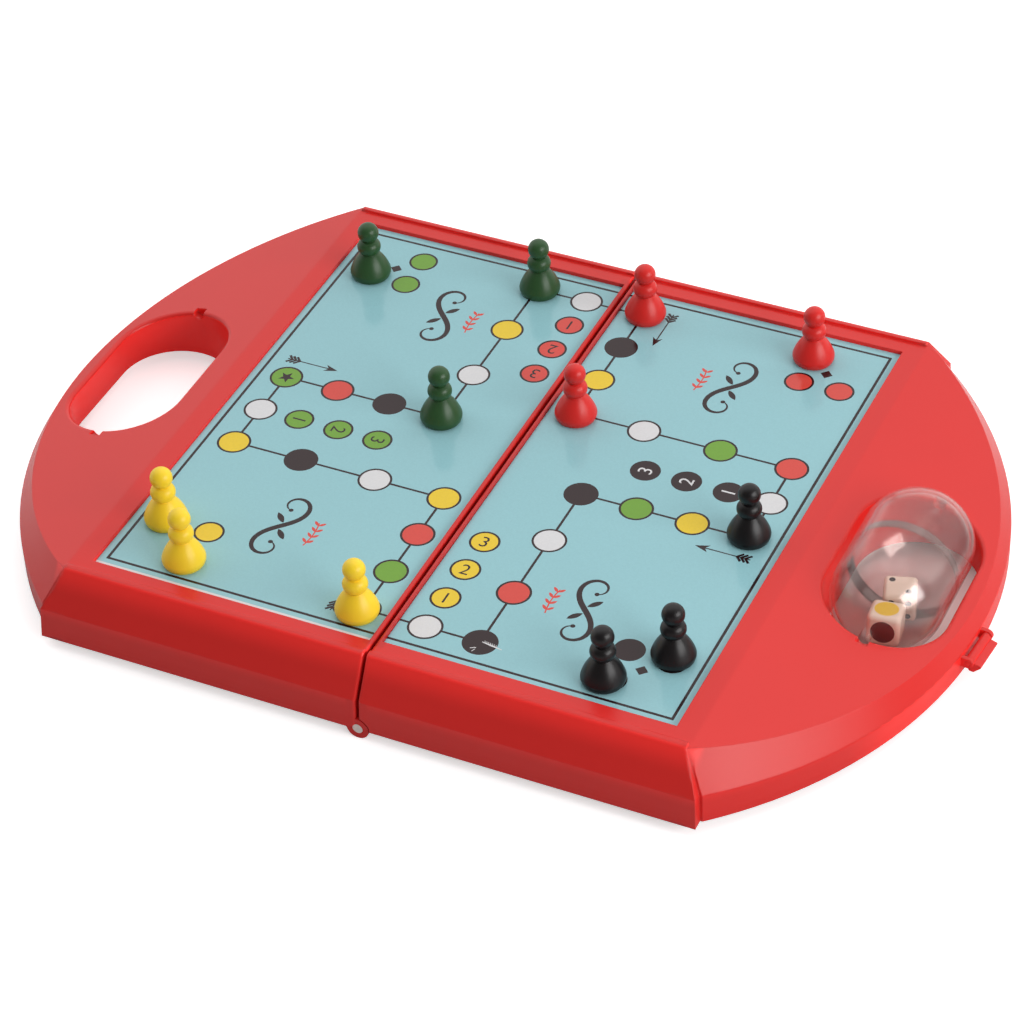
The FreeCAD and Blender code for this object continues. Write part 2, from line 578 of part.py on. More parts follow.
def pawn():
    """Turned pawn with a pocket for its magnet, standing at the origin."""
    head_z = PAWN_HEIGHT - PAWN_HEAD_RADIUS
    neck_radius = math.sqrt(PAWN_HEAD_RADIUS ** 2 - (head_z - PAWN_NECK_HEIGHT) ** 2)

    def at(radius, height):
        return Vector(radius, 0, height)

    foot = at(PAWN_FOOT_RADIUS, 0)
    belly = at(PAWN_BELLY_RADIUS, PAWN_BELLY_HEIGHT)
    waist = at(PAWN_WAIST_RADIUS, PAWN_WAIST_HEIGHT)
    neck = at(neck_radius, PAWN_NECK_HEIGHT)
    crown = at(0, PAWN_HEIGHT)
    foot_round = at((PAWN_FOOT_RADIUS + 3 * PAWN_BELLY_RADIUS) / 4, PAWN_BELLY_HEIGHT / 3)
    edges = [
        Part.LineSegment(Vector(), foot),
        Part.Arc(foot, foot_round, belly),
        Part.Arc(belly, at(PAWN_SHOULDER_RADIUS, PAWN_SHOULDER_HEIGHT), waist),
        Part.Arc(waist, at(PAWN_COLLAR_RADIUS, PAWN_COLLAR_HEIGHT), neck),
        Part.Arc(neck, at(PAWN_HEAD_RADIUS, head_z), crown),
        Part.LineSegment(crown, Vector()),
    ]
    profile = Part.Face(Part.Wire([edge.toShape() for edge in edges]))
    solid = profile.revolve(Vector(), Z_AXIS, 360)
    pocket = Part.makeCylinder(MAGNET_RADIUS + MAGNET_CLEARANCE, MAGNET_RECESS + MAGNET_THICKNESS)
    return solid.cut(pocket)


def magnet():
    return Part.makeCylinder(MAGNET_RADIUS, MAGNET_THICKNESS, Vector(0, 0, MAGNET_RECESS))


def case_pieces():
    shell = half_shell()
    nearer = block_between(
        (BOARD_START, -BOARD_HALF_DEPTH - LEFT_BOARD_EXTRA, RECESS_FLOOR_Z),
        (BOARD_END, -BOARD_HALF_DEPTH, LIP_Z + PAST))
    left = hinged(shell.cut(nearer), own=(0, 2), other=(1,))
    right = hinged(shell, own=(1,), other=(0, 2))
    return {
        "left_case_half": mirror_x(fuse_all([left, catch_tongue()])),
        "right_case_half": fuse_all([right] + clip_ears()),
        "latch_clip": latch_clip(),
        "hinge_pin_near": bar(PIN_RADIUS, -HINGE_END_Y, -HINGE_END_Y + PIN_LENGTH),
        "hinge_pin_far": bar(PIN_RADIUS, HINGE_END_Y - PIN_LENGTH, HINGE_END_Y),
    }


def board_pieces():
    plate = board_layer(RECESS_FLOOR_Z, PLATE_TOP_Z)
    sheet = board_layer(PLATE_TOP_Z, SHEET_TOP_Z)
    left_sheet = board_layer(PLATE_TOP_Z, SHEET_TOP_Z, LEFT_BOARD_EXTRA)
    return {
        "left_steel_plate": mirror_x(plate),
        "right_steel_plate": plate,
        "left_board_sheet": mirror_x(left_sheet),
        "right_board_sheet": sheet,
    }


def capsule_pieces():
    near, far = capsule_halves()
    pipped_turn = die_turn(PIPPED_DIE_TURN, PIPPED_DIE_TILT)
    colour_turn = die_turn(COLOUR_DIE_TURN, COLOUR_DIE_TILT)
    colour_y = PIPPED_DIE_Y - die_half_span(pipped_turn) - DICE_GAP - die_half_span(colour_turn)
    return {
        "capsule_near_half": near,
        "capsule_far_half": far,
        "pipped_die": in_capsule(pipped_die(), PIPPED_DIE_Y, pipped_turn),
        "colour_die": in_capsule(rounded_cube(), colour_y, colour_turn),
    }


def pawn_pieces():
    pieces = {}
    for colour, places in PAWN_PLACES.items():
        for number, (x, y) in enumerate(places, start=1):
            nudge_x, nudge_y = PAWN_NUDGES.get(f"{colour}_{number}", (0.0, 0.0))
            place = Vector(x + math.copysign(TRACK_SPLIT, x) + nudge_x, y + nudge_y, SHEET_TOP_Z)
            pieces[f"{colour}_pawn_{number}"] = pawn().translated(place)
            pieces[f"{colour}_magnet_{number}"] = magnet().translated(place)
    return pieces


def main():
    pieces = {**case_pieces(), **board_pieces(), **capsule_pieces(), **pawn_pieces()}
    left_end = pieces["left_case_half"].optimalBoundingBox(False, False).XMin
    right_end = pieces["latch_clip"].optimalBoundingBox(False, False).XMax
    to_origin = Vector(-(left_end + right_end) / 2, 0, KNUCKLE_RADIUS)
    os.makedirs("parts", exist_ok=True)
    for name, shape in pieces.items():
        solid = shape.translated(to_origin)
        solid.exportStep(f"parts/{name}.step")
        print(f"{name}: solids {len(solid.Solids)}, valid {solid.isValid()}, volume {solid.Volume:.1f}")


main()
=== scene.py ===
import json
import math

import bmesh
import bpy
from mathutils import Matrix, Vector
from mathutils.geometry import delaunay_2d_cdt

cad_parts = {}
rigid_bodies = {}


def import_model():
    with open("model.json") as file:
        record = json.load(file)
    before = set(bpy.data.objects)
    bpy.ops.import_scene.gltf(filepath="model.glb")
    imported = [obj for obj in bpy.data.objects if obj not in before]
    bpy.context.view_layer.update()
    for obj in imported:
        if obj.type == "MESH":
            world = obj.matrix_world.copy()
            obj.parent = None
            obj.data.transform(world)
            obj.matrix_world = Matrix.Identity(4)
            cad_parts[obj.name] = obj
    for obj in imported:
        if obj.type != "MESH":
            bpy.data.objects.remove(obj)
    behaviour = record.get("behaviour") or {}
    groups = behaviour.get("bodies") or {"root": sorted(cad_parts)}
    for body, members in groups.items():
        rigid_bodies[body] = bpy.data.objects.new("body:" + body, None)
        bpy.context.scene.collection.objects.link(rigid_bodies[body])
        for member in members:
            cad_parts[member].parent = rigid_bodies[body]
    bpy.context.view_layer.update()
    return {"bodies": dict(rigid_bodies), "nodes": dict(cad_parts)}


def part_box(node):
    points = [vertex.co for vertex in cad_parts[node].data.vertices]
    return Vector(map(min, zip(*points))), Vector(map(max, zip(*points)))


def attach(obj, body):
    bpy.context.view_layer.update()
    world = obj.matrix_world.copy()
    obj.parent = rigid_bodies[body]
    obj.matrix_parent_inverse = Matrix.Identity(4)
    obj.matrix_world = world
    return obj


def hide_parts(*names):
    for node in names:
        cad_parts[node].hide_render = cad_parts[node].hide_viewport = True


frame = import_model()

# Folding travel ludo: finishes, board print, dice marks, stage, light and camera.
# Lengths are millimetres where they describe the print and the dice, and metres in Blender.
MM = 0.001
NODES = frame["nodes"]
Z_AXIS = Vector((0, 0, 1))

# Camera, from the photograph's perspective
CAMERA_AZIMUTH = 26.363
CAMERA_ELEVATION = 40.045
CAMERA_ROLL = -2.63
CAMERA_DISTANCE = 1.03756
CAMERA_TARGET = Vector((0.00984, -0.024115, 0.02405))
CAMERA_LENS = 122.55
SENSOR_WIDTH = 36.0

# Print: the track pattern is measured from its own middle, and each half moves away from the hinge line
TRACK_SPLIT = 1.2
TRACK_END = 80.0
TRACK_LANE = 8.7
TRACK_ARM = 26.1
SHORT_STEP = (TRACK_END - TRACK_ARM) / 3
LONG_STEPS = (80.0, 56.9, 31.8)
HOME_STEPS = (66.5, 53.0, 39.6)
BASE_IN = 66.7
BASE_MARK = 73.3
SPOT_RADIUS = 5.3
SMALL_SPOT_RADIUS = 4.7
RING_WIDTH = 0.7
LINE_WIDTH = 0.8
FRAME_X = 90.1
FRAME_Y = 88.3
FRAME_WIDTH = 0.9
BARE_EDGE = 1.8            # unprinted strip along the left sheet's near side
FLAT_VIEW = (0.42, 0.8)    # the film's gloss fades where it is seen very flat
CIRCLE_STEPS = 56
CUT_TOLERANCE = 1e-4
CUT_INSIDE = 1             # the cutter keeps the triangles inside the outlines
DIGIT_SIZE = 6.4
STAR_RADIUS = 2.7
STAR_WAIST = 0.42
DIAMOND_RADIUS = 2.0
ARROW_SIDE = 17.5
ARROW_TAIL = 84.0
ARROW_HEAD = 66.5
ARROW_SHAFT = 0.45
ARROW_BARB = 1.6
ARROW_POINT = 4.4
ARROW_NOTCH = 3.2
FEATHERS = 3
FEATHER_STEP = 1.3
FEATHER_SLANT = 1.6
FEATHER_REACH = 1.7
FEATHER_WIDTH = 0.8
ORNAMENT_X = 48.2
ORNAMENT_Y = 56.0
ORNAMENT_SCALE = 14.0
SCROLL_STEPS = 64
SCROLL_REACH = 1.85
SCROLL_WIDTH = 1.5
SCROLL_TIP = 0.35
SCROLL_DOT = 0.75
LEAF_STEPS = 8
LEAF_OFFSET = 1.5
LEAF_LEAN = 0.75
LEAF_LENGTH = 5.2
LEAF_WIDTH = 1.9
SPRIG_X = 38.0
SPRIG_LENGTH = 11.0
SPRIG_STEPS = 8
SPRIG_BEND = 0.6
SPRIG_LEAN = 0.8
SPRIG_LEAF_LENGTH = 2.6
SPRIG_LEAF_WIDTH = 1.0
SCUFF_SWEEP = [(26.6, -79.6), (29.8, -80.1), (33.2, -80.6)]
SCUFF_WIDTHS = [0.3, 0.6, 0.25]
SCUFF_HAIRS = 7
SCUFF_HAIR_WIDTH = 0.16
SCUFF_NICKS = [((24.4, -83.2), (25.9, -82.4), 0.3), ((25.4, -84.3), (25.9, -83.0), 0.22)]

# Dice, as in the solids
DIE_SIZE = 10.0
PIP_RADIUS = 0.95
PIP_DEPTH = 0.35
PIP_SPACING = 2.5
PIPPED_TURN = 17.0
COLOUR_TURN = 8.0
COLOUR_TILT = -8.0
COLOUR_SPOT_RADIUS = 3.6
PAINT_LIFT = 0.02
PAINT_ROUGHNESS = 0.3
PAINT_SHARES = (0.98, 0.8, 0.6, 0.4, 0.2)
CAP_STEPS = 32

# Stage: the room is bright behind the box and to its left, and dim in front of it
WHITE = (1.0, 1.0, 1.0, 1.0)
FLOOR_SIZE = 6.0
FLOOR_GREY = (0.9, 0.9, 0.9, 1.0)
FLOOR_GLOW = 0.55
FLOOR_FRONT = 0.6
FLOOR_BACK = 0.95
FLOOR_RANGE = (-30.0 * MM, 80.0 * MM)
SHADE_PATCH_UNDER_CAPSULE = (23.0 * MM, 43.0 * MM)    # half sizes of the patch of painted shade on the floor under the capsule, where the floor's glow is turned down
GLOW_IN_PAINTED_SHADE = 0.05
ROOM_DIM = 0.15
ROOM_BRIGHT = 1.1
ROOM_RANGE = (-0.25, 0.35)
BRIGHT_SIDE = (-0.45, 0.89, 0.0)

# Noise mostly lies in this range
NOISE_RANGE = (0.2, 0.8)

# Clear plastic: how much of the room it mirrors, from seen straight on to seen flat
CLEAR_VIEW = (0.5, 1.0)
CLEAR_MIRROR = (0.07, 0.85)

# Red plastic: painted light brightens its base colour near its upper edges and on the upright walls around
# its ends, painted shade darkens the top strip along the hinge, and the flat top slopes down over a soft
# crease
RED_ROUGHNESS = 0.2665
RED_INDEX = 1.41
LEANING_NORMAL = (0.2, 0.4)
FLAT_NORMAL = (0.8, 0.99)
# Painted light and shade: gains on the red's base colour near its upper edges, on the walls around its ends
# and on the top strip along the hinge
PAINTED_EDGE_LIGHT = 1.42
LEANING_RANGE = (18.5 * MM, 25.5 * MM)
UPRIGHT_RANGE = (10.0 * MM, 18.0 * MM)
PAINTED_END_LIGHT = 1.36
END_WALLS = (50.0 * MM, 70.0 * MM)
BLOCK_END = (101.5 * MM, 103.5 * MM)
HINGE_X = -1.793 * MM
PAINTED_HINGE_SHADE = 0.85
HINGE_RANGE = (2.6 * MM, 4.0 * MM)
BOARD_SIDE = (93.0 * MM, 95.0 * MM)
CREASE_X = 99.2 * MM
CREASE_RANGE = (1.5 * MM, 3.5 * MM)
CREASE_SOFTNESS = 1.8 * MM
EDGE_SOFTNESS = 0.35 * MM


def linear(red, green, blue):
    """Scene-linear colour of a screen colour written from 0 to 255."""
    def one(value):
        share = value / 255
        return share / 12.92 if share <= 0.04045 else ((share + 0.055) / 1.055) ** 2.4

    return one(red), one(green), one(blue), 1.0


RED_PLASTIC = linear(217, 42, 38)
BOARD_BLUE = linear(147, 195, 202)
INK_DARK = linear(42, 22, 24)
INK_WHITE = linear(216, 215, 216)
INK_GREEN = linear(112, 160, 52)
INK_YELLOW = linear(232, 198, 44)
INK_RED = linear(214, 72, 62)
SPOT_DARK = linear(50, 46, 48)
PAPER_CORE = linear(226, 226, 222)
DIE_CREAM = linear(233, 220, 203)
PLATE_STEEL = (0.56, 0.56, 0.55, 1.0)
PIN_STEEL = (0.92, 0.82, 0.77, 1.0)
MAGNET_GREY = (0.1, 0.1, 0.105, 1.0)
CLEAR_SHEEN = (1.0, 0.93, 0.91, 1.0)
# The clear plastic's faint pink tint is painted light: it stands in for the red hole walls that a real
# shell would bend into view
CLEAR_TINT = (0.99, 0.945, 0.935, 1.0)
PAWN_COLOURS = {
    "yellow": linear(254, 216, 46),
    "green": linear(44, 80, 42),
    "red": linear(222, 40, 36),
    "black": linear(18, 14, 15),
}


# Materials
def principled(name):
    made = bpy.data.materials.new(name)
    made.use_nodes = True
    return made, made.node_tree.nodes["Principled BSDF"]


def noise(made, scale, detail=2.0, roughness=0.5):
    """Noise in the piece's own coordinates; scale is in waves per metre."""
    tree = made.node_tree
    place = tree.nodes.new("ShaderNodeTexCoord")
    texture = tree.nodes.new("ShaderNodeTexNoise")
    texture.inputs["Scale"].default_value = scale
    texture.inputs["Detail"].default_value = detail
    texture.inputs["Roughness"].default_value = roughness
    tree.links.new(place.outputs["Object"], texture.inputs["Vector"])
    return texture.outputs["Fac"]


def spread(made, value, low, high):
    """Maps a noise to a range."""
    return in_range(made, value, *NOISE_RANGE, low, high)


def tinted(made, colour, value, low, high):
    """The colour, made darker or lighter by a noise."""
    tree = made.node_tree
    node = tree.nodes.new("ShaderNodeHueSaturation")
    node.inputs["Color"].default_value = colour
    tree.links.new(spread(made, value, low, high), node.inputs["Value"])
    return node.outputs["Color"]


def bumped(made, value, distance, strength=1.0, soften=0.0):
    """Normal of a bump, over edges that are softened by a small radius."""
    tree = made.node_tree
    node = tree.nodes.new("ShaderNodeBump")
    node.inputs["Strength"].default_value = strength
    node.inputs["Distance"].default_value = distance
    tree.links.new(value, node.inputs["Height"])
    if soften:
        edge = tree.nodes.new("ShaderNodeBevel")
        edge.samples = 6
        edge.inputs["Radius"].default_value = soften
        tree.links.new(edge.outputs["Normal"], node.inputs["Normal"])
    return node.outputs["Normal"]


def plastic(name, colour, roughness, soften=0.0, index=1.5):
    """Moulded plastic: faint clouding, uneven gloss and a fine ripple."""
    made, shader = principled(name)
    links = made.node_tree.links
    clouds = noise(made, scale=30.0)
    gloss = noise(made, scale=25.0, detail=1.0)
    ripple = noise(made, scale=150.0)
    links.new(tinted(made, colour, clouds, 0.985, 1.015), shader.inputs["Base Color"])
    links.new(spread(made, gloss, roughness * 0.99, roughness * 1.01), shader.inputs["Roughness"])
    links.new(bumped(made, ripple, 0.01 * MM, 0.15, soften), shader.inputs["Normal"])
    shader.inputs["IOR"].default_value = index
    return made


def in_range(made, value, start, end, low, high):
    """Maps a value softly from one range to another; low and high are numbers or other values."""
    tree = made.node_tree
    node = tree.nodes.new("ShaderNodeMapRange")
    node.interpolation_type = "SMOOTHSTEP"
    node.inputs["From Min"].default_value = start
    node.inputs["From Max"].default_value = end
    for socket, end_value in (("To Min", low), ("To Max", high)):
        if isinstance(end_value, bpy.types.NodeSocket):
            tree.links.new(end_value, node.inputs[socket])
        else:
            node.inputs[socket].default_value = end_value
    tree.links.new(value, node.inputs["Value"])
    return node.outputs["Result"]


def chained(made, value, *steps):
    """Passes a value through plain sums, each an operation and its number."""
    for operation, number in steps:
        node = made.node_tree.nodes.new("ShaderNodeMath")
        node.operation = operation
        node.inputs[1].default_value = number
        made.node_tree.links.new(value, node.inputs[0])
        value = node.outputs["Value"]
    return value


def split(made, vector):
    node = made.node_tree.nodes.new("ShaderNodeSeparateXYZ")
    made.node_tree.links.new(vector, node.inputs["Vector"])
    return node.outputs


def case_plastic():
    """Red plastic with painted light in its base colour: its sides are brighter near their top edges and on
    the walls around the ends, and the top strip along the hinge is darker with painted shade.
    """
    made = plastic("red_plastic", RED_PLASTIC, RED_ROUGHNESS, EDGE_SOFTNESS, RED_INDEX)
    tree = made.node_tree
    place = split(made, tree.nodes.new("ShaderNodeTexCoord").outputs["Object"])
    facing = split(made, tree.nodes.new("ShaderNodeNewGeometry").outputs["True Normal"])

    from_hinge = chained(made, place["X"], ("SUBTRACT", HINGE_X), ("ABSOLUTE", 0.0))
    from_middle = chained(made, place["Y"], ("ABSOLUTE", 0.0))
    # Painted light: the base colour is brightened near the top of the leaning and upright sides and on the
    # walls around the ends; painted shade darkens the top strip along the hinge
    leaning = in_range(made, place["Z"], *LEANING_RANGE, 1.0, PAINTED_EDGE_LIGHT)
    leaning = in_range(made, from_hinge, *BLOCK_END, leaning, 1.0)
    upright = in_range(made, place["Z"], *UPRIGHT_RANGE, 1.0, PAINTED_EDGE_LIGHT)
    upright = in_range(made, from_middle, *END_WALLS, PAINTED_END_LIGHT, upright)
    upright = in_range(made, from_hinge, *HINGE_RANGE, 1.0, upright)
    side = in_range(made, facing["Z"], *LEANING_NORMAL, upright, leaning)
    painted_gain = in_range(made, facing["Z"], *FLAT_NORMAL, side, 1.0)
    strip = in_range(made, from_hinge, *HINGE_RANGE, PAINTED_HINGE_SHADE, painted_gain)
    painted_gain = in_range(made, from_middle, *BOARD_SIDE, strip, painted_gain)

    shader = tree.nodes["Principled BSDF"]
    painted_light = tree.nodes.new("ShaderNodeHueSaturation")
    tree.links.new(shader.inputs["Base Color"].links[0].from_socket, painted_light.inputs["Color"])
    tree.links.new(painted_gain, painted_light.inputs["Value"])
    tree.links.new(painted_light.outputs["Color"], shader.inputs["Base Color"])

    from_crease = chained(made, from_hinge, ("SUBTRACT", CREASE_X), ("ABSOLUTE", 0.0))
    softness = in_range(made, from_crease, *CREASE_RANGE, CREASE_SOFTNESS, EDGE_SOFTNESS)
    tree.links.new(softness, tree.nodes["Bevel"].inputs["Radius"])
    return made


def ink(name, colour):
    """Ink on coated board: fine grain under a glossy film that isn't quite flat."""
    made, shader = principled(name)
    links = made.node_tree.links
    grain = noise(made, scale=1600.0, detail=4.0, roughness=0.7)
    gloss = noise(made, scale=180.0, detail=3.0)
    ripple = noise(made, scale=60.0)
    links.new(tinted(made, colour, grain, 0.96, 1.04), shader.inputs["Base Color"])
    links.new(spread(made, gloss, 0.1, 0.17), shader.inputs["Roughness"])
    links.new(bumped(made, ripple, 0.03 * MM, 0.5), shader.inputs["Normal"])
    shader.inputs["IOR"].default_value = 1.42
    edge = made.node_tree.nodes.new("ShaderNodeLayerWeight")
    edge.inputs["Blend"].default_value = 0.5
    film = in_range(made, edge.outputs["Facing"], *FLAT_VIEW, 0.5, 0.02)
    links.new(film, shader.inputs["Specular IOR Level"])
    return made


def metal(name, colour, roughness, metallic=1.0):
    made, shader = principled(name)
    links = made.node_tree.links
    stains = noise(made, scale=900.0, detail=3.0)
    polish = noise(made, scale=1500.0)
    links.new(tinted(made, colour, stains, 0.9, 1.06), shader.inputs["Base Color"])
    links.new(spread(made, polish, roughness * 0.7, roughness * 1.3), shader.inputs["Roughness"])
    shader.inputs["Metallic"].default_value = metallic
    return made


def clear_plastic():
    """Clear thin shell: light goes straight through it, and it mirrors the room towards its edges."""
    made, shader = principled("clear_plastic")
    tree = made.node_tree
    shader.inputs["Base Color"].default_value = CLEAR_SHEEN
    shader.inputs["Metallic"].default_value = 1.0
    gloss = noise(made, scale=320.0, detail=4.0)
    ripple = noise(made, scale=120.0, detail=1.0)
    tree.links.new(spread(made, gloss, 0.14, 0.22), shader.inputs["Roughness"])
    tree.links.new(bumped(made, ripple, 0.02 * MM, 0.4), shader.inputs["Normal"])
    # Painted light: the pink of the light through the shell stands in for the red hole walls seen through a
    # real shell
    through = tree.nodes.new("ShaderNodeBsdfTransparent")
    through.inputs["Color"].default_value = CLEAR_TINT
    edge = tree.nodes.new("ShaderNodeLayerWeight")
    edge.inputs["Blend"].default_value = 0.5
    share = in_range(made, edge.outputs["Facing"], *CLEAR_VIEW, *CLEAR_MIRROR)
    mixed = tree.nodes.new("ShaderNodeMixShader")
    tree.links.new(share, mixed.inputs["Fac"])
    tree.links.new(through.outputs["BSDF"], mixed.inputs[1])
    tree.links.new(shader.outputs["BSDF"], mixed.inputs[2])
    tree.links.new(mixed.outputs["Shader"], tree.nodes["Material Output"].inputs["Surface"])
    return made


def finish_solids(red):
    """Gives every carried-over solid its material."""
    finishes = {
        "left_case_half": red, "right_case_half": red, "latch_clip": red,
        "left_steel_plate": metal("plate_steel", PLATE_STEEL, roughness=0.35),
        "hinge_pin_near": metal("pin_steel", PIN_STEEL, roughness=0.5, metallic=0.4),
        "pipped_die": plastic("die_cream", DIE_CREAM, roughness=0.22),
        "capsule_near_half": clear_plastic(),
    }
    finishes["right_steel_plate"] = finishes["left_steel_plate"]
    finishes["hinge_pin_far"] = finishes["hinge_pin_near"]
    finishes["colour_die"] = finishes["pipped_die"]
    finishes["capsule_far_half"] = finishes["capsule_near_half"]
    sintered = metal("magnet", MAGNET_GREY, roughness=0.5)
    for colour, shade in PAWN_COLOURS.items():
        gloss = plastic(f"pawn_{colour}", shade, roughness=0.36, index=1.43)
        for number in (1, 2, 3):
            finishes[f"{colour}_pawn_{number}"] = gloss
            finishes[f"{colour}_magnet_{number}"] = sintered
    for node, finish in finishes.items():
        NODES[node].data.materials.clear()
        NODES[node].data.materials.append(finish)


# Flat outlines of the print
def circle(centre, radius):
    angles = [2 * math.pi * step / CIRCLE_STEPS for step in range(CIRCLE_STEPS)]
    return [(centre[0] + radius * math.cos(a), centre[1] + radius * math.sin(a)) for a in angles]


def stroke(points, widths):
    """Outline of a line with a width at each of its points."""
    left, right = [], []
    last = len(points) - 1
    for index, (point, width) in enumerate(zip(points, widths)):
        before, after = Vector(points[max(index - 1, 0)]), Vector(points[min(index + 1, last)])
        side = (after - before).normalized().orthogonal() * width / 2
        left.append(tuple(Vector(point) + side))
        right.append(tuple(Vector(point) - side))
    return left + right[::-1]


def segment(start, end, width):
    return stroke([start, end], [width, width])


def star(centre, radius):
    """Five-pointed star that points away from the near side."""
    points = []
    for step in range(10):
        angle = math.pi / 2 + step * math.pi / 5
        reach = radius if step % 2 == 0 else radius * STAR_WAIST
        points.append((centre[0] + reach * math.cos(angle), centre[1] + reach * math.sin(angle)))
    return points


def leaf(base, heading, length, width):
    """Pointed leaf from its base along a heading in radians."""
    along = Vector((math.cos(heading), math.sin(heading)))
    steps = range(LEAF_STEPS + 1)
    points = [tuple(Vector(base) + along * length * step / LEAF_STEPS) for step in steps]
    widths = [width * math.sin(math.pi * step / LEAF_STEPS) ** 0.8 for step in steps]
    return stroke(points, widths)


def anticlockwise(points):
    pairs = zip(points, points[1:] + points[:1])
    area = sum(x1 * y2 - x2 * y1 for (x1, y1), (x2, y2) in pairs)
    return points if area > 0 else points[::-1]


def turned(points, quarter_turns):
    """Points of the near arm, turned to the left, far or right arm."""
    for _ in range(quarter_turns):
        points = [(y, -x) for x, y in points]
    return points


def digit_outlines(digit, centre):
    """Triangles of a plain digit, upright towards the far side."""
    curve = bpy.data.curves.new("digit", "FONT")
    curve.body = str(digit)
    curve.size = DIGIT_SIZE
    curve.align_x = "CENTER"
    curve.resolution_u = 4
    made = bpy.data.objects.new("digit", curve)
    mesh = bpy.data.meshes.new_from_object(made)
    mesh.calc_loop_triangles()
    corners = [vertex.co for vertex in mesh.vertices]
    low = min(corner.y for corner in corners)
    high = max(corner.y for corner in corners)
    lift = centre[1] - (low + high) / 2
    triangles = [
        [(centre[0] + corners[index].x, lift + corners[index].y) for index in triangle.vertices]
        for triangle in mesh.loop_triangles
    ]
    bpy.data.objects.remove(made)
    bpy.data.curves.remove(curve)
    bpy.data.meshes.remove(mesh)
    return triangles


def scroll_outlines(centre, flip):
    """Plain S scroll along Y with two leaves, as on old game boards."""
    step_length = 2 * SCROLL_REACH / SCROLL_STEPS
    lengths = [-SCROLL_REACH + step_length * index for index in range(SCROLL_STEPS + 1)]
    points, x, y = [], 0.0, 0.0
    for length in lengths:
        points.append(Vector((x, y)))
        heading = math.pi / 2 * (length + step_length / 2) ** 2
        x += step_length * math.cos(heading)
        y += step_length * math.sin(heading)
    middle = (points[0] + points[-1]) / 2
    upright = Matrix.Rotation(math.pi / 4, 2)
    points = [(upright @ (point - middle)) * ORNAMENT_SCALE for point in points]
    points = [(centre[0] + flip * point.x, centre[1] + point.y) for point in points]
    swell = [1 - (abs(length) / SCROLL_REACH) ** 1.6 for length in lengths]
    outlines = [stroke(points, [SCROLL_WIDTH * share + SCROLL_TIP for share in swell])]
    outlines += [circle(points[end], SCROLL_DOT) for end in (0, -1)]
    for side in (-1, 1):
        heading = math.pi / 2 + flip * LEAF_LEAN + (0 if side > 0 else math.pi)
        base = (centre[0], centre[1] + side * LEAF_OFFSET)
        outlines.append(leaf(base, heading, LEAF_LENGTH, LEAF_WIDTH))
    return outlines


def sprig_outlines(centre, flip):
    """Small sprig of paired leaves along Y."""
    low = centre[1] - SPRIG_LENGTH / 2
    stem = []
    for step in range(SPRIG_STEPS + 1):
        bend = flip * SPRIG_BEND * math.sin(math.pi * step / SPRIG_STEPS)
        stem.append((centre[0] + bend, low + SPRIG_LENGTH * step / SPRIG_STEPS))
    outlines = [stroke(stem, [0.45] * SPRIG_STEPS + [0.2])]
    for base in stem[1::2]:
        for side in (-1, 1):
            heading = math.pi / 2 + side * SPRIG_LEAN
            outlines.append(leaf(base, heading, SPRIG_LEAF_LENGTH, SPRIG_LEAF_WIDTH))
    return outlines


def arrow_outlines():
    """Feathered arrow beside the near arm's start, pointing at the middle of the board."""
    tail, head = -ARROW_TAIL, -ARROW_HEAD
    shapes = [segment((-ARROW_SIDE, tail), (-ARROW_SIDE, head - 1.0), ARROW_SHAFT)]
    shapes.append([
        (-ARROW_SIDE, head), (-ARROW_SIDE - ARROW_BARB, head - ARROW_POINT),
        (-ARROW_SIDE, head - ARROW_NOTCH), (-ARROW_SIDE + ARROW_BARB, head - ARROW_POINT)])
    for side in (-1, 1):
        for step in range(FEATHERS):
            root = (-ARROW_SIDE, tail + FEATHER_STEP * step + FEATHER_SLANT)
            tip = (-ARROW_SIDE + side * FEATHER_REACH, tail + FEATHER_STEP * step)
            shapes.append(segment(root, tip, FEATHER_WIDTH))
    return shapes


def scuff_outlines():
    """Scuffs on the near dark spot, where the print is worn to the bare sheet."""
    outlines = [stroke(SCUFF_SWEEP, SCUFF_WIDTHS)]
    for step in range(SCUFF_HAIRS):
        foot = (27.6 + 0.62 * step, -79.75 - 0.09 * step)
        outlines.append(segment(foot, (foot[0] - 0.5, foot[1] + 0.9), SCUFF_HAIR_WIDTH))
    outlines += [segment(start, end, width) for start, end, width in SCUFF_NICKS]
    return outlines


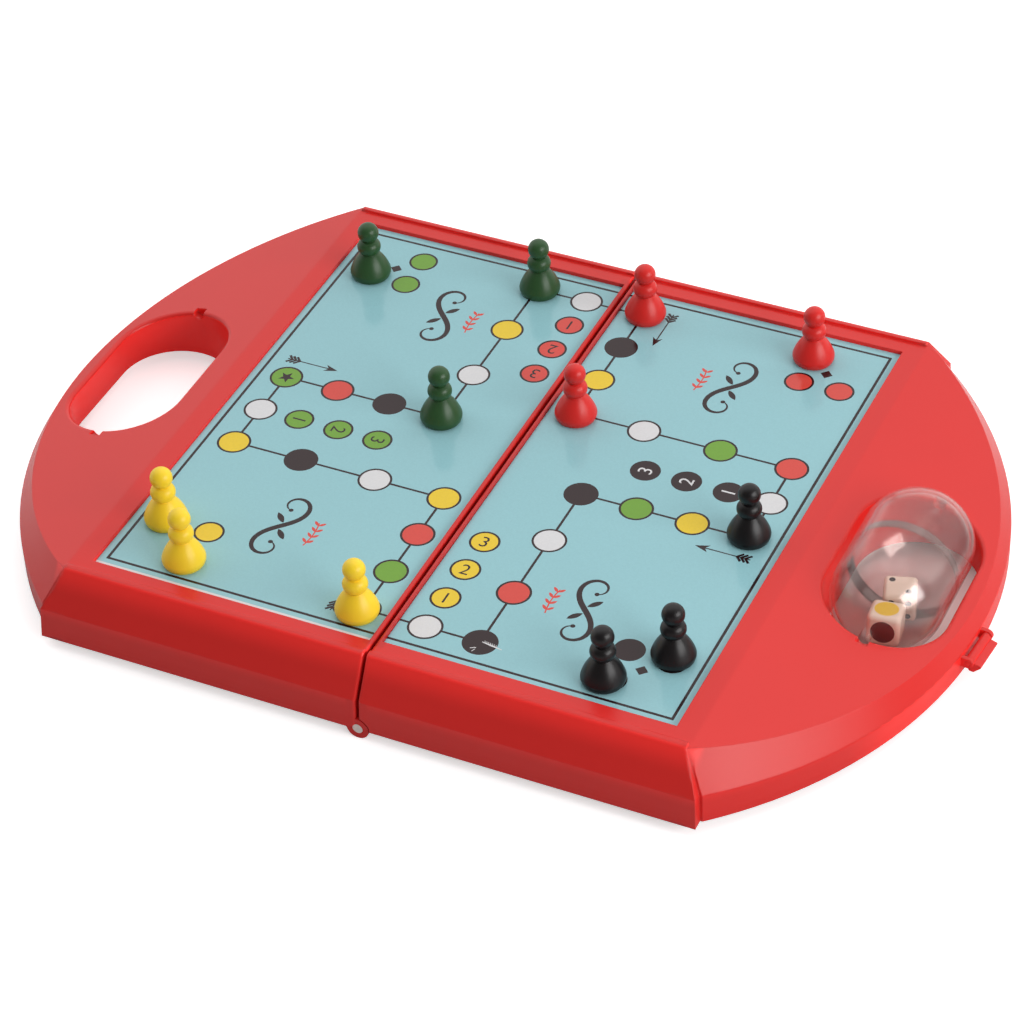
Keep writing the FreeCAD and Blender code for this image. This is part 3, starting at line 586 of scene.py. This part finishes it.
def track_shapes():
    """The print as (ink, outline), in the order in which it is laid down, in pattern coordinates."""
    inks = ["yellow", "green", "red", "dark"]
    lines, rings, spots, marks = [], [], [], []

    def spot(place, colour, radius):
        rings.append(("dark", circle(place, radius)))
        spots.append((colour, circle(place, radius - RING_WIDTH)))

    for arm in range(4):
        own, after, across, before = (inks[(arm + step) % 4] for step in range(4))
        mark_ink = "white" if own == "dark" else "dark"

        def at(x, y):
            return turned([(x, y)], arm)[0]

        short = [(-TRACK_LANE, -TRACK_END + SHORT_STEP * step) for step in range(4)]
        long = [(TRACK_ARM, -step) for step in LONG_STEPS] + [(TRACK_ARM, -TRACK_LANE)]
        middle = (TRACK_LANE, -TRACK_END)
        for run in ([middle] + short, [middle] + long):
            for start, end in zip(run, run[1:]):
                lines.append(("dark", turned(segment(start, end, LINE_WIDTH), arm)))
        for place, colour in zip(short, (own, after, across, own)):
            spot(at(*place), colour, SPOT_RADIUS)
        for place, colour in zip(long, (before, across, "white")):
            spot(at(*place), colour, SPOT_RADIUS)
        spot(at(*middle), "white", SPOT_RADIUS)
        for number, step in enumerate(HOME_STEPS, start=1):
            spot(at(TRACK_LANE, -step), own, SMALL_SPOT_RADIUS)
            for triangle in digit_outlines(number, (TRACK_LANE, -step)):
                marks.append((mark_ink, turned(triangle, arm)))
        for place in ((-BASE_IN, -BASE_IN), (-TRACK_END, -BASE_IN), (-BASE_IN, -TRACK_END)):
            spot(at(*place), own, SMALL_SPOT_RADIUS)
        marks.append((mark_ink, turned(star((-TRACK_LANE, -TRACK_END), STAR_RADIUS), arm)))
        diamond = [
            (-BASE_MARK, -BASE_MARK - DIAMOND_RADIUS), (-BASE_MARK + DIAMOND_RADIUS, -BASE_MARK),
            (-BASE_MARK, -BASE_MARK + DIAMOND_RADIUS), (-BASE_MARK - DIAMOND_RADIUS, -BASE_MARK)]
        marks.append(("dark", turned(diamond, arm)))
        marks += [("dark", turned(outline, arm)) for outline in arrow_outlines()]
    for side in (-1, 1):
        for end in (-1, 1):
            flip = side * end
            marks += [("dark", o) for o in scroll_outlines((side * ORNAMENT_X, end * ORNAMENT_Y), flip)]
            marks += [("red", o) for o in sprig_outlines((side * SPRIG_X, end * ORNAMENT_Y), flip)]
    marks += [("white", outline) for outline in scuff_outlines()]
    return lines + rings + spots + marks


def sheet_outlines(low, high, side, shapes):
    """The sheet itself, then its frame and its share of the print, as (ink, outline) in millimetres."""
    hinge_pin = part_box("hinge_pin_near")
    hinge_x = (hinge_pin[0].x + hinge_pin[1].x) / 2 / MM
    x_low, x_high, y_low, y_high = low.x / MM, high.x / MM, low.y / MM, high.y / MM
    outlines = [("blue", [(x_low, y_low), (x_high, y_low), (x_high, y_high), (x_low, y_high)])]

    frame_x = hinge_x + side * FRAME_X
    past_hinge = hinge_x - side * TRACK_LANE
    corners = [(past_hinge, -FRAME_Y), (frame_x, -FRAME_Y), (frame_x, FRAME_Y), (past_hinge, FRAME_Y)]
    for start, end in zip(corners, corners[1:]):
        outlines.append(("dark", segment(start, end, FRAME_WIDTH)))
    for corner in corners[1:3]:
        half = FRAME_WIDTH / 2
        square = [(-half, -half), (half, -half), (half, half), (-half, half)]
        outlines.append(("dark", [(corner[0] + x, corner[1] + y) for x, y in square]))

    if side < 0:
        y_print = y_low + BARE_EDGE
        outlines.append(("white", [(x_low, y_low), (x_high, y_low), (x_high, y_print), (x_low, y_print)]))

    shift = hinge_x + side * TRACK_SPLIT
    for ink_name, outline in shapes:
        moved = [(x + shift, y) for x, y in outline]
        if max(side * (x - hinge_x) for x, _ in moved) > 0:
            outlines.append((ink_name, moved))
    return outlines


def board_sheet(name, node, body, side, shapes, inks, core):
    """Printed sheet of one half: its top is cut along the print's outlines, and its edges show the core."""
    low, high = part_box(node)
    outlines = sheet_outlines(low, high, side, shapes)
    points, faces = [], []
    for _, outline in outlines:
        faces.append(list(range(len(points), len(points) + len(outline))))
        points += [Vector(point) for point in anticlockwise(outline)]
    cut = delaunay_2d_cdt(points, [], faces, CUT_INSIDE, CUT_TOLERANCE)
    new_points, new_faces, face_sources = cut[0], cut[2], cut[5]

    slots = list(inks)
    mesh = bpy.data.meshes.new(name)
    for slot_ink in inks.values():
        mesh.materials.append(slot_ink)
    mesh.materials.append(core)
    shape = bmesh.new()
    top = {}

    def vertex(index):
        if index not in top:
            x, y = new_points[index]
            top[index] = shape.verts.new((x * MM, y * MM, high.z))
        return top[index]

    for corner_indexes, sources in zip(new_faces, face_sources):
        if 0 not in sources:
            continue
        face = shape.faces.new([vertex(index) for index in corner_indexes])
        face.material_index = slots.index(outlines[max(sources)][0])
    rim = [edge for edge in shape.edges if edge.is_boundary]
    walls = bmesh.ops.extrude_edge_only(shape, edges=rim)["geom"]
    for part in walls:
        if isinstance(part, bmesh.types.BMVert):
            part.co.z = low.z
        elif isinstance(part, bmesh.types.BMFace):
            part.material_index = len(slots)
    bottom = [edge for edge in shape.edges if edge.is_boundary]
    for face in bmesh.ops.contextual_create(shape, geom=bottom)["faces"]:
        face.material_index = len(slots)
    bmesh.ops.recalc_face_normals(shape, faces=shape.faces)
    shape.to_mesh(mesh)
    shape.free()
    sheet = bpy.data.objects.new(name, mesh)
    bpy.context.scene.collection.objects.link(sheet)
    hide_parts(node)
    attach(sheet, body)


def print_board():
    inks = {
        "blue": ink("board_blue", BOARD_BLUE), "dark": ink("ink_dark", INK_DARK),
        "white": ink("ink_white", INK_WHITE), "green": ink("ink_green", INK_GREEN),
        "yellow": ink("ink_yellow", INK_YELLOW), "red": ink("ink_red", INK_RED),
    }
    core = ink("board_core", PAPER_CORE)
    shapes = track_shapes()
    board_sheet("left_printed_sheet", "left_board_sheet", "left_half", -1, shapes, inks, core)
    board_sheet("right_printed_sheet", "right_board_sheet", "right_half", 1, shapes, inks, core)


# Marks on the dice
def die_matrix(node, turn, tilt):
    low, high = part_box(node)
    place = Matrix.Translation((low + high) / 2)
    return place @ Matrix.Rotation(math.radians(turn), 4, "Z") @ Matrix.Rotation(math.radians(tilt), 4, "X")


def face_turn(axis, angle):
    return Matrix.Rotation(math.radians(angle), 4, axis)


FACE_TURNS = {
    "top": face_turn("Z", 90), "bottom": face_turn("X", 180), "front": face_turn("X", 90),
    "back": face_turn("X", -90), "right": face_turn("Y", 90), "left": face_turn("Y", -90),
}
FACE_PIPS = {"top": 2, "bottom": 5, "front": 4, "back": 3, "right": 1, "left": 6}


def pip_places(count):
    """Places of a face's pips, in the face's own plane."""
    places = [(0, 0)] if count % 2 else []
    places += [(-1, -1), (1, 1)] if count >= 2 else []
    places += [(-1, 1), (1, -1)] if count >= 4 else []
    places += [(-1, 0), (1, 0)] if count == 6 else []
    return [(PIP_SPACING * across, PIP_SPACING * along) for across, along in places]


def add_cap(shape, place, across, along, profile):
    """Round patch on a die's face; profile gives (radius, height from the die's middle), rim first."""
    rings = []
    for radius, height in profile:
        ring = []
        for step in range(CAP_STEPS):
            angle = 2 * math.pi * step / CAP_STEPS
            point = Vector((across + radius * math.cos(angle), along + radius * math.sin(angle), height))
            ring.append(shape.verts.new(place @ (point * MM)))
        rings.append(ring)
    for outer, inner in zip(rings, rings[1:]):
        for step in range(CAP_STEPS):
            after = (step + 1) % CAP_STEPS
            shape.faces.new((outer[step], outer[after], inner[after], inner[step]))
    shape.faces.new(rings[-1])


def add_piece(name, shape, materials, body):
    mesh = bpy.data.meshes.new(name)
    for finish in materials:
        mesh.materials.append(finish)
    shape.to_mesh(mesh)
    shape.free()
    for face in mesh.polygons:
        face.use_smooth = True
    piece = bpy.data.objects.new(name, mesh)
    bpy.context.scene.collection.objects.link(piece)
    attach(piece, body)


def paint_pips():
    """Dark paint in the pips, just above the floor of each dimple."""
    place = die_matrix("pipped_die", PIPPED_TURN, 0.0)
    ball_radius = (PIP_RADIUS ** 2 + PIP_DEPTH ** 2) / (2 * PIP_DEPTH)
    ball_height = DIE_SIZE / 2 - PIP_DEPTH + ball_radius
    profile = []
    for share in PAINT_SHARES:
        radius = PIP_RADIUS * share
        profile.append((radius, ball_height - math.sqrt(ball_radius ** 2 - radius ** 2) + PAINT_LIFT))
    shape = bmesh.new()
    for face, count in FACE_PIPS.items():
        for across, along in pip_places(count):
            add_cap(shape, place @ FACE_TURNS[face], across, along, profile)
    paint = plastic("pip_paint", INK_DARK, PAINT_ROUGHNESS)
    add_piece("pip_paint", shape, [paint], "die_with_pips")


def paint_colours():
    """Coloured spots on the second die; the sixth face stays bare."""
    place = die_matrix("colour_die", COLOUR_TURN, COLOUR_TILT)
    height = DIE_SIZE / 2 + PAINT_LIFT
    profile = [(COLOUR_SPOT_RADIUS, height), (COLOUR_SPOT_RADIUS * 0.6, height)]
    spots = {"top": INK_YELLOW, "front": SPOT_DARK, "back": INK_RED, "left": INK_GREEN, "bottom": INK_WHITE}
    shape = bmesh.new()
    finishes = []
    for number, (face, colour) in enumerate(spots.items()):
        before = len(shape.faces)
        add_cap(shape, place @ FACE_TURNS[face], 0.0, 0.0, profile)
        shape.faces.ensure_lookup_table()
        for index in range(before, len(shape.faces)):
            shape.faces[index].material_index = number
        finishes.append(plastic(f"die_spot_{face}", colour, PAINT_ROUGHNESS))
    add_piece("die_colour_spots", shape, finishes, "die_with_colours")


# Stage, light and camera
def follower(name, body, place):
    """Point that rides on a body, for the stage to follow at other poses."""
    made = bpy.data.objects.new(name, None)
    bpy.context.scene.collection.objects.link(made)
    made.parent = frame["bodies"][body]
    made.matrix_parent_inverse = made.parent.matrix_world.inverted()
    made.location = place
    return made


def floor_paint():
    """White floor for the camera, with a patch of painted shade under the capsule, and for other rays a
    grey one that is dimmer in front of the box.
    """
    made, shader = principled("floor")
    tree = made.node_tree
    grey = tinted(made, FLOOR_GREY, noise(made, scale=8.0), 0.99, 1.01)
    tree.links.new(grey, shader.inputs["Base Color"])
    shader.inputs["Roughness"].default_value = 0.9
    shader.inputs["Emission Color"].default_value = WHITE

    # Painted shade: the floor's glow is turned down in a patch under the capsule, so the floor seen there
    # reads as shaded
    low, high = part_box("capsule_near_half")
    under = tree.nodes.new("ShaderNodeMapping")
    under.vector_type = "TEXTURE"
    under.inputs["Scale"].default_value = (*SHADE_PATCH_UNDER_CAPSULE, 1.0)
    beside = tree.nodes.new("ShaderNodeTexCoord")
    beside.object = follower("under_capsule", "right_half", ((low.x + high.x) / 2, 0.0, 0.0))
    tree.links.new(beside.outputs["Object"], under.inputs["Vector"])
    away = tree.nodes.new("ShaderNodeVectorMath")
    away.operation = "LENGTH"
    tree.links.new(under.outputs["Vector"], away.inputs[0])
    glow = in_range(made, away.outputs["Value"], 0.9, 1.1, GLOW_IN_PAINTED_SHADE, FLOOR_GLOW)
    tree.links.new(glow, shader.inputs["Emission Strength"])

    dim = tree.nodes.new("ShaderNodeBsdfDiffuse")
    behind = tree.nodes.new("ShaderNodeVectorMath")
    behind.operation = "DOT_PRODUCT"
    behind.inputs[1].default_value = BRIGHT_SIDE
    tree.links.new(tree.nodes.new("ShaderNodeTexCoord").outputs["Object"], behind.inputs[0])
    shade = in_range(made, behind.outputs["Value"], *FLOOR_RANGE, FLOOR_FRONT, FLOOR_BACK)
    tree.links.new(shade, dim.inputs["Color"])

    rays = tree.nodes.new("ShaderNodeLightPath")
    seen = tree.nodes.new("ShaderNodeMath")
    seen.operation = "MAXIMUM"
    tree.links.new(rays.outputs["Is Camera Ray"], seen.inputs[0])
    tree.links.new(rays.outputs["Is Transmission Ray"], seen.inputs[1])
    mixed = tree.nodes.new("ShaderNodeMixShader")
    tree.links.new(seen.outputs["Value"], mixed.inputs["Fac"])
    tree.links.new(dim.outputs["BSDF"], mixed.inputs[1])
    tree.links.new(shader.outputs["BSDF"], mixed.inputs[2])
    tree.links.new(mixed.outputs["Shader"], tree.nodes["Material Output"].inputs["Surface"])
    return made


def stage():
    """Floor that lies at zero, and drops to the pawns' heads where the box is folded."""
    floor_mesh = bpy.data.meshes.new("floor")
    shape = bmesh.new()
    bmesh.ops.create_grid(shape, x_segments=1, y_segments=1, size=FLOOR_SIZE)
    shape.to_mesh(floor_mesh)
    shape.free()
    floor_mesh.materials.append(floor_paint())
    floor = bpy.data.objects.new("floor", floor_mesh)
    bpy.context.scene.collection.objects.link(floor)
    head_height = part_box("black_pawn_1")[1].z
    follow = floor.constraints.new("COPY_LOCATION")
    follow.target = follower("lowest_head", "pawn_black_1", (0.0, 0.0, head_height))
    follow.use_x = False
    follow.use_y = False
    stop = floor.constraints.new("LIMIT_LOCATION")
    stop.use_max_z = True
    stop.max_z = 0.0


def softbox(name, direction, distance, width, height, power):
    """Large lamp that shines at the middle of the box; sizes in metres, power in watts."""
    aim = Vector((0, 0, 0.02))
    lamp = bpy.data.lights.new(name, "AREA")
    lamp.shape = "RECTANGLE"
    lamp.size = width
    lamp.size_y = height
    lamp.energy = power
    made = bpy.data.objects.new(name, lamp)
    out = Vector(direction).normalized()
    made.location = aim + out * distance
    made.rotation_mode = "QUATERNION"
    made.rotation_quaternion = (-out).to_track_quat("-Z", "Y")
    bpy.context.scene.collection.objects.link(made)


def light():
    world = bpy.data.worlds.new("studio")
    world.use_nodes = True
    tree = world.node_tree
    room = tree.nodes["Background"]
    room.inputs["Color"].default_value = WHITE
    heading = tree.nodes.new("ShaderNodeTexCoord")
    towards = tree.nodes.new("ShaderNodeVectorMath")
    towards.operation = "DOT_PRODUCT"
    towards.inputs[1].default_value = BRIGHT_SIDE
    level = tree.nodes.new("ShaderNodeMapRange")
    level.interpolation_type = "SMOOTHSTEP"
    level.inputs["From Min"].default_value = ROOM_RANGE[0]
    level.inputs["From Max"].default_value = ROOM_RANGE[1]
    level.inputs["To Min"].default_value = ROOM_DIM
    level.inputs["To Max"].default_value = ROOM_BRIGHT
    tree.links.new(heading.outputs["Generated"], towards.inputs[0])
    tree.links.new(towards.outputs["Value"], level.inputs["Value"])
    tree.links.new(level.outputs["Result"], room.inputs["Strength"])
    bpy.context.scene.world = world
    softbox("key", direction=(0.89, -0.21, 0.41), distance=1.3, width=1.0, height=0.6, power=11.5)
    softbox("top", direction=(-0.05, 0.08, 1.0), distance=1.6, width=2.6, height=2.0, power=6.5)


def camera():
    azimuth = math.radians(CAMERA_AZIMUTH)
    elevation = math.radians(CAMERA_ELEVATION)
    roll = math.radians(CAMERA_ROLL)
    level = math.cos(elevation)
    back = Vector((math.sin(azimuth) * level, -math.cos(azimuth) * level, math.sin(elevation)))
    right = (-back).cross(Z_AXIS).normalized()
    up = right.cross(-back)
    rolled_right = math.cos(roll) * right + math.sin(roll) * up
    rolled_up = -math.sin(roll) * right + math.cos(roll) * up
    lens = bpy.data.cameras.new("camera")
    lens.sensor_width = SENSOR_WIDTH
    lens.lens = CAMERA_LENS
    made = bpy.data.objects.new("camera", lens)
    made.matrix_world = Matrix.Translation(CAMERA_TARGET + back * CAMERA_DISTANCE) @ Matrix(
        (rolled_right, rolled_up, back)).transposed().to_4x4()
    bpy.context.scene.collection.objects.link(made)
    bpy.context.scene.camera = made


bpy.context.scene.view_settings.view_transform = "Standard"
finish_solids(case_plastic())
print_board()
paint_pips()
paint_colours()
stage()
light()
camera()

bpy.context.view_layer.update()
